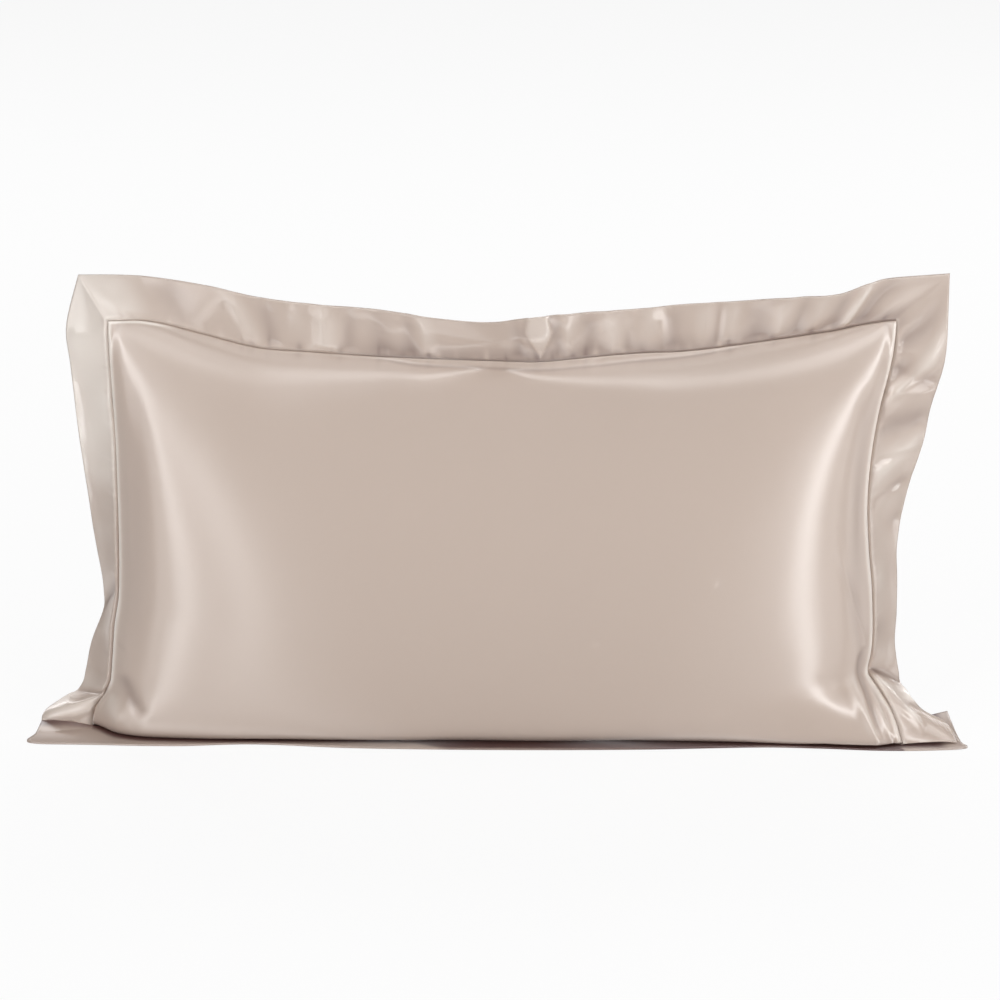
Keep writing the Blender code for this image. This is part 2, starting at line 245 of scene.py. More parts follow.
# A ripple of the border: where it leaves the stitch line and meets the outer edge, half its width, and
# how far it lifts there. Places are X on the top side and Z on the left and right ones.
Ripple = namedtuple("Ripple", "side seam edge wide lift_seam lift_edge")
RIPPLES = (
    Ripple("top", -400, -410, 22, 0.5, 2.0),
    Ripple("top", -340, -352, 18, -0.5, -1.5),
    Ripple("top", -262, -294, 11, 1.6, 2.0),
    Ripple("top", -244, -256, 9, -1.6, -1.0),
    Ripple("top", -218, -222, 9, -0.6, 1.6),
    Ripple("top", -188, -190, 12, 2.4, 1.6),
    Ripple("top", -164, -160, 9, -1.4, -0.8),
    Ripple("top", -122, -132, 11, -1.6, -0.6),
    Ripple("top", -74, -78, 8, 1.8, 1.4),
    Ripple("top", -95, -97, 8, -1.4, -1.0),
    Ripple("top", 24, 22, 7, -1.6, -1.2),
    Ripple("top", 66, 64, 7, -1.2, -1.6),
    Ripple("top", 78, 76, 6, 0.8, 1.4),
    Ripple("top", 104, 98, 9, -1.2, -1.4),
    Ripple("top", 134, 116, 10, 1.6, 1.4),
    Ripple("top", 140, 142, 6, -1.4, 0.8),
    Ripple("top", 164, 166, 11, 0.6, 1.6),
    Ripple("top", 190, 186, 10, -1.2, -1.0),
    Ripple("top", 220, 222, 9, 1.0, 1.4),
    Ripple("top", 234, 236, 6, -0.8, -1.0),
    Ripple("top", 248, 250, 9, 1.4, 1.2),
    Ripple("top", 280, 278, 13, -1.6, -1.0),
    Ripple("top", 300, 310, 8, 1.6, 1.2),
    Ripple("top", 322, 326, 6, -1.2, -1.0),
    Ripple("top", 338, 346, 7, 1.2, 1.0),
    Ripple("top", 358, 370, 8, -1.6, -1.4),
    Ripple("top", 374, 392, 5, 3.0, 3.4),
    Ripple("top", 392, 406, 8, -1.6, -1.6),
    Ripple("top", 412, 440, 14, 0.6, 2.0),
    Ripple("left", 440, 446, 26, 0.0, 2.0),
    Ripple("left", 380, 372, 22, 1.6, -1.2),
    Ripple("left", 330, 322, 12, -0.8, 0.8),
    Ripple("left", 300, 288, 9, 0.9, 0.4),
    Ripple("left", 276, 262, 10, -0.9, -0.4),
    Ripple("left", 230, 222, 14, 0.8, 1.0),
    Ripple("left", 166, 128, 9, -2.6, -3.0),
    Ripple("left", 118, 100, 12, 1.0, 1.6),
    Ripple("right", 452, 462, 12, -2.2, -1.0),
    Ripple("right", 386, 446, 13, 2.0, 3.2),
    Ripple("right", 420, 405, 12, -2.4, -1.0),
    Ripple("right", 352, 362, 14, -1.4, -1.8),
    Ripple("right", 296, 334, 15, 2.6, 2.6),
    Ripple("right", 312, 318, 5, -1.6, -0.6),
    Ripple("right", 262, 286, 8, -0.6, -1.8),
    Ripple("right", 236, 232, 14, 0.6, -1.6),
    Ripple("right", 180, 176, 18, 1.6, -1.4),
    Ripple("right", 118, 112, 14, -1.4, 0.4),
    Ripple("right", 90, 84, 10, 1.0, 1.0),
)

# Creases of the border. On the right it folds forward under the pinch: a sharp ridge with a deep hollow
# above it. On the left a crease parts the rolled end from the cloth above.
BORDER_FOLDS = {
    "right": (
        Fold(412, 65, 435, 46, 466, 17, 3.2, 2.0, 6.0, 1.5, -0.35),
        Fold(411, 69, 433, 52, 456, 31, 3.6, -1.5, -6.0, -0.5, 0.3),
        # a thin painted highlight along the ridge and a thin line of painted shade along the hollow above it
        Fold(412.6, 65.5, 434, 48, 464, 19.4, 1.6, 0.6, 1.2, 0.3, -0.9),
        Fold(410, 69.5, 431, 51, 452, 30, 1.6, -0.6, -1.4, -0.3, 0.9),
        Fold(470, 12, 488, 8, 502, 6, 8, 0.0, 2.0, 0.0),
    ),
    "left": (
        Fold(-424, 50, -443, 36.5, -472, 28.5, 2.2, -2.0, -3.6, -1.5, 0.5),
        Fold(-432, 27, -464, 21, -497, 12.5, 7.0, 1.5, 3.6, 2.0, -0.25),
    ),
}

# The triangular tuck in the upper border: its point, its widest part and its top.
TUCK_X, TUCK_TOP_HALF, TUCK_HALF = 46.0, 11.0, 15.0
TUCK_POINT_Z, TUCK_WIDE_Z, TUCK_TOP_Z = 428.0, 463.0, 482.0
TUCK_LIFT, TUCK_SIDE = 0.9, 2.5

TUCK_SIDE_OUT, TUCK_POINT_FADE = 0.6, 6.0  # where its shaded sides lie, and how they fade to its point

# Puckers along the seams, each between a least and a most.
PUCKER_SEED = 11
PUCKER_STEP = (9.0, 24.0)
PUCKER_WIDE = (1.6, 4.5)
PUCKER_REACH = (4.0, 14.0)
PUCKER_LIFT = (-0.7, 0.7)
PUCKER_CLEAR = 2.5  # the stitches hold the cloth flat within this distance
BODY_TOP_PUCKERS, BODY_SIDE_PUCKERS, BORDER_SIDE_PUCKERS = 0.8, 0.5, 0.6  # of the border's upper ones
SIDE_SEEDS = ((-1, 3), (1, 5))  # each side of the body, and what it adds to the seed
BORDER_SIDE_SEED = 3
BODY_PUCKERS_RISE, BORDER_PUCKERS_RISE = (70.0, 40.0), (60.0, 30.0)  # the height where they start, and over
BODY_PUCKERS_TOP = 12.0  # they end over this distance below the upper seam

# How far from the seams the folds and ripples come to their full height.
FACE_FADE, FACE_FOOT = 9.0, 0.06
RIPPLE_FADE, RIPPLE_CORNER, FOLD_FADE = 9.0, 26.0, 3.0

WELT_AT, WELT_WIDE, WELT_LIFT = 1.7, 1.6, 1.2  # the bead of cloth along the side seams
GROOVE_AT, GROOVE_WIDE, GROOVE_DEPTH = 7.0, 5.0, 0.5
WELT_TOP, WELT_FOOT = 6.0, 0.1  # where both fade below the upper seam and above the lower one
SLOW_LIFT, SLOW_WIDE, SLOW_TALL = 0.7, 95.0, 150.0  # the face's slow unevenness and its size

# Painted shade in hollows, creases and where parts touch, from 0 to 1, or painted highlight below 0. A pair
# after it is where the painted tone starts to show, and the distance over which it comes or goes.
HOLLOW_SHADE, RIPPLE_SHADE, PUCKER_SHADE = 0.04, 0.15, 0.65  # for each millimetre of depth
FOLD_ENDS = 0.25  # how much of a fold's tone is left at its ends
CREASE_SHADE, CREASE_BELOW, CREASE_WIDE, CREASE_DROP = 0.28, 1.5, 2.2, 4.0
# painted highlight along the welts, fading below the upper seam; along the upper seam it ends at TOP_WELT_END
WELT_LIGHT, WELT_LIGHT_TOP = 1.1, 4.0
LOW_WELT, WELT_RISE = 0.7, (40.0, 20.0)  # how much painted highlight the right welt keeps at its foot
TOP_WELT_END = (-380.0, 40.0)
# painted highlight on the tuck's facet and painted shade along its lower sides
TUCK_LIGHT, TUCK_SIDE_SHADE = 0.3, 0.14
LOW_SHADE, LOW_SHADE_BELOW = 0.45, 16.0
# painted shade beside the stitch line, with the share of it kept on the sides and at the left end of the
# upper side
STITCH_SHADE, STITCH_SHADE_WIDE, SIDE_STITCH = 0.26, 1.3, 0.3
TOP_STITCH, TOP_STITCH_RISE = 0.3, (-330.0, 80.0)
LOW_SEAM_LIGHT, LOW_SEAM_WIDE, LOW_SEAM_RISE = 0.6, 2.5, (55.0, 20.0)  # painted highlight on the right seam below its pinch
CONTACT_SHADE, CONTACT_FROM, CONTACT_WIDE = 1.0, 5.0, 11.0  # of the lower border under the body
CORNER_PLY, ROLL_FRONT = 55.0, -2.0  # how far forward the contact lies beyond the body's two ends
CORNER_FREE = (484.0, 12.0)
DEEP_CONTACT, DEEP_RISE, DEEP_FALL = 15.0, (-100.0, 50.0), (300.0, 60.0)  # it reaches further there
STRIP_SHADE = 0.2  # of the lower border, which lies flat and turned away from the light
SEAM_SHADE, SEAM_SHADE_WIDE, SEAM_SHADE_RISE = 0.34, 16.0, (-180.0, 60.0)  # above the upper stitch line
# painted highlights on the border's upper left corner, on its right side and on its rolled end at the lower
# left
CORNER_HIGHLIGHT, CORNER_HIGHLIGHT_RISE, CORNER_HIGHLIGHT_FALL = 0.75, (215.0, 130.0), (-370.0, 60.0)
RIGHT_HIGHLIGHT, RIGHT_HIGHLIGHT_RISE, RIGHT_HIGHLIGHT_FALL = 0.1, (90.0, 50.0), (360.0, 60.0)
ROLL_HIGHLIGHT, ROLL_HIGHLIGHT_FALL = 0.3, (58.0, 18.0)
ROWS_FROM, ROWS_TO, ROWS_FADE, ROWS_FAINT = -70.0, 130.0, 40.0, 0.3  # where both rows of stitches show, painted lighter as their thread catches the light

RIPPLE_GAIN = {"top": 1.1, "left": 1.0, "right": 1.3}
EDGE_HELD, EDGE_RISE = 0.35, (0.7, 0.3)  # how much of the ripples is left at the outer edge


# ---------------------------------------------------------------------------- curves
def smooth(share):
    """A share from 0 to 1 that starts and ends gently."""
    share = min(max(share, 0.0), 1.0)
    return share * share * (3.0 - 2.0 * share)


def smooth_each(shares):
    """The same for a row of shares."""
    shares = np.clip(shares, 0.0, 1.0)
    return shares * shares * (3.0 - 2.0 * shares)


def rise(places, start, over):
    """0 up to a start, then gently up to 1."""
    return smooth_each((places - start) / over)


def fall(places, end, over):
    """1, then gently down to 0 at an end."""
    return smooth_each((end - places) / over)


def hump(apart, wide):
    """1 on a line and softly down to 0 away from it."""
    return np.exp(-((apart / wide) ** 2))


def between(before, start, end, after, share):
    """A curve from start to end that leaves and arrives along the line of its neighbours."""
    out, back = (end - before) / 2, (after - start) / 2
    return (
        start
        + out * share
        + (3 * (end - start) - 2 * out - back) * share**2
        + (2 * (start - end) + out + back) * share**3
    )


def through(rows, key, at):
    """The row of a table where one column has a value, on a smooth curve through the rows."""
    column = [getattr(row, key) for row in rows]
    i = max(k for k in range(len(column) - 1) if column[k] <= at or k == 0)
    near = [rows[min(max(k, 0), len(rows) - 1)] for k in (i - 1, i, i + 1, i + 2)]
    share = min(max((at - column[i]) / (column[i + 1] - column[i]), 0.0), 1.0)
    return type(rows[0])(*(between(*four, share) for four in zip(*near)))


def spaced(share, bunched=BUNCHED):
    """Places grid lines from -1 to 1 closer together towards both ends."""
    return math.sin(share * math.pi / 2) * bunched + share * (1 - bunched)


def crown(a, power):
    """How full the body is along the case, from 0 at a side seam to 1 in the middle."""
    return max(1.0 - abs(a) ** power, 0.0) ** 0.5


# ---------------------------------------------------------------------------- the body
def section(base, deep, height, drop):
    """Points from the lower seam, out along the base, round the crown and up to the upper seam."""
    deepest, top = DEEPEST_AT * height, height - drop
    full, least = (deep - base) / 2, LEAST_TURN * base
    turn = (full + least + math.hypot(full - least, TURN_EASED)) / 2
    lower = [(base, 0), (base + turn, 0), (deep, ROUND_BELOW * deepest), (deep, deepest)]
    upper = [
        (deep, deepest),
        (deep, deepest + ROUND_ABOVE * (top - deepest)),
        (deep / 2, top - SHOULDER * deep),
        (0, top),
    ]
    points = [Vector((0, 0, 0))]
    for curve in (lower, upper):
        points += interpolate_bezier(*(Vector((y, z, 0)) for y, z in curve), CURVE_STEPS)
    return points + [Vector((0, height, 0))]


def along_section(points, lengths, share):
    """The point at a share of a section's length."""
    left = share * sum(lengths)
    for p, q, length in zip(points, points[1:], lengths):
        if left <= length:
            return p.lerp(q, left / length) if length else p
        left -= length
    return points[-1]


def pull(a, seam_y):
    """How far the lower right corner is pulled forward, given the seam's own place."""
    return seam_y * max((a - PULLED_FROM) / (1 - PULLED_FROM), 0.0) ** PULL_POWER


@lru_cache(maxsize=None)
def section_at(a, front):
    """The body's section at a share of its length, -1 to 1, its steps' lengths and its height."""
    top = through(TOP, "seam_x", TOP_LEFT + (a + 1) / 2 * TOP_SPAN)
    base = BACK_BASE * crown(a, FOOT_POWER)
    if front:
        x = FLOOR[0].seam_x + (a + 1) / 2 * (FEET[-1].x - FEET[0].x)
        base = through(FEET, "x", x).front + pull(a, RIGHT[0].seam_y)
        base = max(base, 0) * crown(a, FRONT_FOOT_POWER)
    drop = through(STRIPS, "x", top.seam_x).drop
    points = section(base, HALF_DEPTH * crown(a, CROWN_POWER), top.seam_z, drop)
    return points, [(q - p).length for p, q in zip(points, points[1:])], top.seam_z


def across_body(a, left, right, level):
    """X between the two side seams. Below their pinches the seams flare out, and the middle less so."""
    flare_left = left - LEFT_PINCH.seam_x if level < LEFT_PINCH.seam_z else 0
    flare_right = right - RIGHT_PINCH.seam_x if level < RIGHT_PINCH.seam_z else 0
    start, end = left - flare_left, right - flare_right
    x = start + (end - start) * (a + 1) / 2
    return x + flare_left * ((1 - a) / 2) ** FLARE_POWER + flare_right * ((1 + a) / 2) ** FLARE_POWER


def body_point(a, b, front):
    """A point of one panel. a runs from the left seam to the right one, b from the lower to the upper."""
    points, lengths, span = section_at(a, front)
    place = along_section(points, lengths, (b + 1) / 2)
    depth, height = place.x, place.y
    seam = SEAM_HALF * smooth((height + depth) / SEAM_RUN)
    low = 1 - smooth(height / LOW_BELOW)
    raised = LIFT * smooth((a - RAISED_FROM) / (RAISED_BY - RAISED_FROM))
    height += low * (raised + (LIFT if front else 0))
    level = min(height * CORNER_HEIGHT / span, CORNER_HEIGHT)
    left, right = through(LEFT, "seam_z", level), through(RIGHT, "seam_z", level)
    x = across_body(a, left.seam_x, right.seam_x, level)
    pulled = pull(a, right.seam_y)
    side = -1 if front else 1
    return Vector((x, pulled + side * (depth + seam), height))


def fold_lift(fold, x, z):
    """How far one soft fold lifts the cloth at each place, and how much painted shade it puts there, a
    painted highlight where its dark is below 0.
    """
    t = np.linspace(0, 1, FOLD_STEPS + 1)
    weights = np.stack([(1 - t) ** 2, 2 * t * (1 - t), t**2])
    line_x = np.array([fold.x0, fold.x1, fold.x2]) @ weights
    line_z = np.array([fold.z0, fold.z1, fold.z2]) @ weights
    near, share = np.full(len(x), np.inf), np.zeros(len(x))
    for i in range(FOLD_STEPS):
        run_x, run_z = line_x[i + 1] - line_x[i], line_z[i + 1] - line_z[i]
        on = (x - line_x[i]) * run_x + (z - line_z[i]) * run_z
        on = np.clip(on / (run_x**2 + run_z**2), 0, 1)
        apart = np.hypot(x - line_x[i] - on * run_x, z - line_z[i] - on * run_z)
        closer = apart < near
        near[closer] = apart[closer]
        share[closer] = (i + on[closer]) / FOLD_STEPS
    lift = (1 - share) ** 2 * fold.lift0 + 2 * share * (1 - share) * fold.lift1 + share**2 * fold.lift2
    near = hump(near, fold.wide)
    return lift * near, fold.dark * near * smooth_each(4 * share * (1 - share) + FOLD_ENDS)


@lru_cache(maxsize=None)
def pucker_list(start, end, seed):
    """Places along a seam where the stitches draw the cloth up: place, half width, reach and lift."""
    made, at = [], start
    rng = np.random.default_rng(seed)
    while at < end:
        at += rng.uniform(*PUCKER_STEP)
        made.append((at, rng.uniform(*PUCKER_WIDE), rng.uniform(*PUCKER_REACH), rng.uniform(*PUCKER_LIFT)))
    return made


def pucker_lift(along, away, start, end, seed):
    """How far the puckers of one seam lift the cloth, from the places along it and the distance away."""
    total = np.zeros(len(along))
    for at, wide, reach, lift in pucker_list(start, end, seed):
        total += lift * hump(along - at, wide) * hump(away, reach)
    return total * smooth_each(away / PUCKER_CLEAR)


def slow_lift(x, z):
    """The slow unevenness of the filled face."""
    places = (Vector((px / SLOW_WIDE, 0, pz / SLOW_TALL)) for px, pz in zip(x, z))
    return SLOW_LIFT * np.array([noise.noise(place) for place in places])


def panel_lift(x, z, a, b, front):
    """How far each point of a panel lifts from its plain crown, and its painted shade, or painted highlight
    along the welts.
    """
    side = (1 - np.abs(a)) * TOP_SPAN / 2
    upper = (1 - b) * PANEL_RUN / 2
    inside = smooth_each(side / FACE_FADE) * smooth_each((1 + b) / FACE_FOOT) * smooth_each(upper / FACE_FADE)
    welt = hump(side - WELT_AT, WELT_WIDE)
    folded, dark = np.zeros(len(x)), np.zeros(len(x))
    if front:
        for fold in FOLDS:
            raised, darkened = fold_lift(fold, x, z)
            folded += raised * inside
            dark += darkened * inside
        least = np.where(x > 0, LOW_WELT, 0.0)
        bead = welt * (least + (1 - least) * rise(z, *WELT_RISE))
        dark -= WELT_LIGHT * bead * smooth_each(upper / WELT_LIGHT_TOP)
        dark -= WELT_LIGHT * hump(upper - WELT_AT, WELT_WIDE) * (1 - rise(x, *TOP_WELT_END))
    lift = slow_lift(x, z) * inside + folded
    shade = HOLLOW_SHADE * np.clip(-folded, 0, None) + dark
    shade += CREASE_SHADE * strip_crease(x, upper) + LOW_SHADE * (1 - smooth_each(z / LOW_SHADE_BELOW))
    puckered = BODY_TOP_PUCKERS * pucker_lift(x, upper, TOP[0].seam_x, TOP[-1].seam_x, PUCKER_SEED)
    lift += puckered
    shade -= PUCKER_SHADE / 2 * puckered
    low = rise(z, *BODY_PUCKERS_RISE)
    for sign, seed in SIDE_SEEDS:
        here = (a * sign > 0) * smooth_each(upper / BODY_PUCKERS_TOP)
        drawn = pucker_lift(z, side, 0, CORNER_HEIGHT, PUCKER_SEED + seed)
        lift += BODY_SIDE_PUCKERS * drawn * here * low
    groove = GROOVE_DEPTH * hump(side - GROOVE_AT, GROOVE_WIDE)
    lift += (WELT_LIFT * welt - groove) * smooth_each(upper / WELT_TOP) * smooth_each((1 + b) / WELT_FOOT)
    return lift, np.clip(shade, -1, 1)


def strip_crease(x, upper):
    """1 on the crease below the flat strip under the upper stitch line."""
    drop = np.array([through(STRIPS, "x", place).drop for place in x.tolist()])
    return hump(upper - drop - CREASE_BELOW, CREASE_WIDE) * smooth_each(drop / CREASE_DROP)


def panel(bm, front, flat):
    """Adds one panel of the body as a grid, and notes where each point lies in the flat cloth."""
    made = bmesh.ops.create_grid(bm, x_segments=ALONG, y_segments=AROUND, size=1.0)["verts"]
    a = np.array([spaced(vert.co.x) for vert in made])
    b = np.array([spaced(vert.co.y) for vert in made])
    for vert, place_a, place_b in zip(made, a.tolist(), b.tolist()):
        flat[vert] = (place_a * TOP_SPAN / 2 * MM, place_b * CORNER_HEIGHT * FLAT_HALF * MM)
        vert.co = body_point(place_a, place_b, front)
    if not front:
        faces = {face for vert in made for face in vert.link_faces}
        bmesh.ops.reverse_faces(bm, faces=list(faces))
    inner = [vert for vert in made if not vert.is_boundary]
    for _ in range(EASED):
        bmesh.ops.smooth_vert(bm, verts=inner, factor=0.5, use_axis_x=True, use_axis_y=True, use_axis_z=True)
    bm.normal_update()
    x = np.array([vert.co.x for vert in made])
    z = np.array([vert.co.z for vert in made])
    lifts, shades = panel_lift(x, z, a, b, front)
    shaded = bm.verts.layers.float["shade"]
    for vert, lift, shade in zip(made, lifts.tolist(), shades.tolist()):
        vert[shaded] = shade
        if not vert.is_boundary:
            vert.co += vert.normal * lift
            vert.co.z = max(vert.co.z, 0.0)


def finish(bm, name, flat, material):
    """Makes a smooth-shaded mesh object with the flat cloth's places as its UV map."""
    uv = bm.loops.layers.uv.verify()
    for face in bm.faces:
        for loop in face.loops:
            loop[uv].uv = flat[loop.vert]
    bmesh.ops.transform(bm, verts=bm.verts, matrix=Matrix.Scale(MM, 4) @ Matrix.Translation(-MIDDLE))
    mesh = bpy.data.meshes.new(name)
    bm.to_mesh(mesh)
    bm.free()
    mesh.shade_smooth()
    mesh.materials.append(material)
    piece = bpy.data.objects.new(name, mesh)
    bpy.context.scene.collection.objects.link(piece)
    return piece


def make_body(material):
    """The filled body: two crowned panels, joined all round by the blunt edge of the seam."""
    bm, flat = bmesh.new(), {}
    bm.verts.layers.float.new("shade")
    panel(bm, True, flat)
    panel(bm, False, flat)
    bmesh.ops.bridge_loops(bm, edges=[edge for edge in bm.edges if edge.is_boundary])
    return finish(bm, "satin_body", flat, material)


# ---------------------------------------------------------------------------- the border
def side_places(rows, key, steps, back):
    """Rows of one side's table at the border's steps, without the last one."""
    low, high = getattr(rows[0], key), getattr(rows[-1], key)
    for k in range(steps):
        share = (spaced(2 * k / steps - 1, BORDER_BUNCHED) + 1) / 2
        yield through(rows, key, low + (high - low) * (1 - share if back else share))


def border_places():
    """Side and row along the whole border, from its end under the lower right corner."""
    places = [("floor", row) for row in side_places(FLOOR, "seam_x", BORDER_ALONG, True)]
    places += [("left", row) for row in side_places(LEFT, "seam_z", BORDER_AROUND, False)]
    places += [("top", row) for row in side_places(TOP, "seam_x", BORDER_ALONG, False)]
    places += [("right", row) for row in side_places(RIGHT, "seam_z", BORDER_AROUND, True)]
    return places + [("right", RIGHT[0])]


def seam_points():
    """The middle of the body's blunt edge at each place of the border."""
    grid = [spaced(2 * k / BORDER_ALONG - 1, BORDER_BUNCHED) for k in range(BORDER_ALONG)]
    rise = [spaced(2 * k / BORDER_AROUND - 1, BORDER_BUNCHED) for k in range(BORDER_AROUND)]
    spots = [(-a, -1) for a in grid] + [(-1, b) for b in rise]
    spots += [(a, 1) for a in grid] + [(1, -b) for b in rise] + [(1, -1)]
    for a, b in spots:
        yield (body_point(a, b, True) + body_point(a, b, False)) / 2


def border_row(row, inner, away, flatter):
    """Points from the seam to the outer edge at one place."""
    bend = inner + away * STRAIGHT
    outer = Vector((row.edge_x, row.edge_y, row.edge_z))
    bow = Vector((0, row.bow_y * flatter, row.bow_z))
    shares = [k / (ACROSS - 1) for k in range(ACROSS)]
    points = [inner] + [bend.lerp(outer, s) + bow * (4 * s * (1 - s)) for s in shares]
    return [Vector((p.x, p.y, max(p.z, CLOTH / 2))) for p in points]


def border_rows(places):
    """Along the whole border: its points from the seam to the outer edge at each place."""
    seam = list(seam_points())
    last = len(seam) - 1
    for i, (side, row) in enumerate(places):
        along = seam[min(i + 1, last)] - seam[max(i - 1, 0)]
        away = Vector((-along.z, 0, along.x)).normalized()
        if i < BORDER_ALONG:
            seam[i] = Vector((row.seam_x, row.seam_y, row.seam_z))
            away = Vector((0, -1, 0))
        elif i == BORDER_ALONG:
            seam[i].z = row.seam_z
            away = Vector((-1, -1, 0)).normalized()
        gap = CORNER_GAP if i in (BORDER_ALONG, last) else GAP
        yield border_row(row, seam[i] + away * gap, away, TOP_BOW if side == "top" else 1.0)


def tuck_shape(x, z):
    """The raised facet of the triangular tuck and the shaded cloth along its lower sides, from 0 to 1."""
    below = (z - TUCK_POINT_Z) / (TUCK_WIDE_Z - TUCK_POINT_Z) * TUCK_HALF
    above = TUCK_HALF + (z - TUCK_WIDE_Z) / (TUCK_TOP_Z - TUCK_WIDE_Z) * (TUCK_TOP_HALF - TUCK_HALF)
    within = np.minimum(below, above) - np.abs(x - TUCK_X)
    beside = hump(within + TUCK_SIDE * TUCK_SIDE_OUT, TUCK_SIDE) * rise(z, TUCK_POINT_Z, TUCK_POINT_FADE)
    return smooth_each(within / TUCK_SIDE), beside


def border_lift(side, x, z, row_z, across):
    """How far each point of the border lifts towards its front, given its side and place, and its painted
    shade in hollows, with painted highlight on crests and on the tuck.
    """
    lift = np.zeros(len(x))
    free = smooth_each(across / RIPPLE_FADE)
    share = across / CUT_WIDTH
    corner = np.where(side == "top", np.minimum(x - TOP_LEFT, TOP_LEFT + TOP_SPAN - x), CORNER_HEIGHT - row_z)
    held = smooth_each(corner / RIPPLE_CORNER) * (1 - (1 - EDGE_HELD) * rise(share, *EDGE_RISE))
    for ripple in RIPPLES:
        at = x if ripple.side == "top" else row_z
        line = ripple.seam + (ripple.edge - ripple.seam) * share
        height = ripple.lift_seam + (ripple.lift_edge - ripple.lift_seam) * share
        height *= RIPPLE_GAIN[ripple.side] * hump(at - line, ripple.wide)
        lift += (side == ripple.side) * free * height * held
    hollow = -RIPPLE_SHADE * lift
    top, sides = side == "top", (side == "left") | (side == "right")
    high = rise(row_z, *BORDER_PUCKERS_RISE)
    drawn = pucker_lift(row_z, across, 0, CORNER_HEIGHT, PUCKER_SEED + BORDER_SIDE_SEED)
    puckered = top * pucker_lift(x, across, TOP[0].seam_x, TOP[-1].seam_x, PUCKER_SEED)
    puckered += sides * BORDER_SIDE_PUCKERS * drawn * high
    lift += puckered
    hollow -= PUCKER_SHADE * puckered
    facet, beside = tuck_shape(x, z)
    lift += top * TUCK_LIFT * facet
    hollow += top * (TUCK_SIDE_SHADE * beside - TUCK_LIGHT * facet)
    for name, folds in BORDER_FOLDS.items():
        for fold in folds:
            raised, darkened = fold_lift(fold, x, z)
            lift += (side == name) * raised * smooth_each(across / FOLD_FADE)
            hollow += (side == name) * darkened
    return lift, hollow


def border_shade(side, x, y, z, across):
    """The border's painted shade beside the stitch line and where the body rests on its lower side, and its
    painted highlights on the upper left corner, the right side, the right seam below its pinch and the rolled
    end.
    """
    top, right = side == "top", side == "right"
    shade = STITCH_SHADE * (side != "floor") * hump(across, STITCH_SHADE_WIDE)
    shade *= np.where(top, rise(x, *TOP_STITCH_RISE) * (1 - TOP_STITCH) + TOP_STITCH, SIDE_STITCH)
    shade -= LOW_SEAM_LIGHT * right * (1 - rise(z, *LOW_SEAM_RISE)) * hump(across, LOW_SEAM_WIDE)
    front = np.array([through(FEET, "x", place).front for place in x.tolist()])
    front = np.where(x > FEET[-1].x, CORNER_PLY, np.where(x < FEET[0].x, ROLL_FRONT, front))
    front += DEEP_CONTACT * rise(x, *DEEP_RISE) * fall(x, *DEEP_FALL)
    resting = 1 - rise(-y - front, CONTACT_FROM, CONTACT_WIDE)
    resting *= 1 - rise(x, *CORNER_FREE)
    shade += SEAM_SHADE * top * hump(across, SEAM_SHADE_WIDE) * rise(x, *SEAM_SHADE_RISE)
    shade -= CORNER_HIGHLIGHT * rise(z, *CORNER_HIGHLIGHT_RISE) * fall(x, *CORNER_HIGHLIGHT_FALL)
    shade -= RIGHT_HIGHLIGHT * right * rise(z, *RIGHT_HIGHLIGHT_RISE) * fall(z, *RIGHT_HIGHLIGHT_FALL)
    shade -= ROLL_HIGHLIGHT * (side == "left") * fall(z, *ROLL_HIGHLIGHT_FALL)
    return np.where(side == "floor", STRIP_SHADE + (CONTACT_SHADE - STRIP_SHADE) * resting, shade)


def corner_part(line, corner):
    """The points of one line of the border beside a corner."""
    return line[corner - CORNER_REACH : corner + CORNER_REACH]


def draw_out(bm, rows):
    """Draws the seam's edge out in rows, and gives the lines from the seam to the outer edge."""
    line = [bm.verts.new(points[0]) for points in rows]
    edges = [bm.edges.new(pair) for pair in zip(line, line[1:])]
    lines = [line]
    for step in range(1, ACROSS + 1):
        made = bmesh.ops.extrude_edge_only(bm, edges=edges)["geom"]
        line = [item for item in made if isinstance(item, bmesh.types.BMVert)]
        for vert, points in zip(line, rows):
            vert.co = points[step]
        edges = [item for item in made if isinstance(item, bmesh.types.BMEdge)]
        edges = [edge for edge in edges if all(vert in line for vert in edge.verts)]
        lines.append(line)
    bm.normal_update()
    return lines


def ease_corners(bm, lines, corners):
    """Eases the depth of the outer edge beside each corner, and then of the cloth inside it."""
    for corner in corners:
        edge = corner_part(lines[-1], corner)
        depth = np.array([vert.co.y for vert in edge])
        for _ in range(EDGE_EASED):
            depth[1:-1] += (depth[2:] - 2 * depth[1:-1] + depth[:-2]) / 4
        for vert, eased in zip(edge, depth.tolist()):
            vert.co.y = eased
    inner = [vert for line in lines[1:-1] for corner in corners for vert in corner_part(line, corner)]
    depth_only = {"use_axis_x": False, "use_axis_y": True, "use_axis_z": False}
    for _ in range(CORNER_EASED):
        bmesh.ops.smooth_vert(bm, verts=inner, factor=0.5, **depth_only)
    bm.normal_update()


def double_cloth(border):
    """Gives the border its thickness, in its own mesh."""
    doubled = border.modifiers.new("doubled cloth", "SOLIDIFY")
    doubled.thickness = BORDER_CLOTH * MM
    doubled.offset = 0
    graph = bpy.context.evaluated_depsgraph_get()
    shaped = border.evaluated_get(graph)
    thick = bpy.data.meshes.new_from_object(shaped, preserve_all_data_layers=True, depsgraph=graph)
    border.modifiers.clear()
    border.data = thick


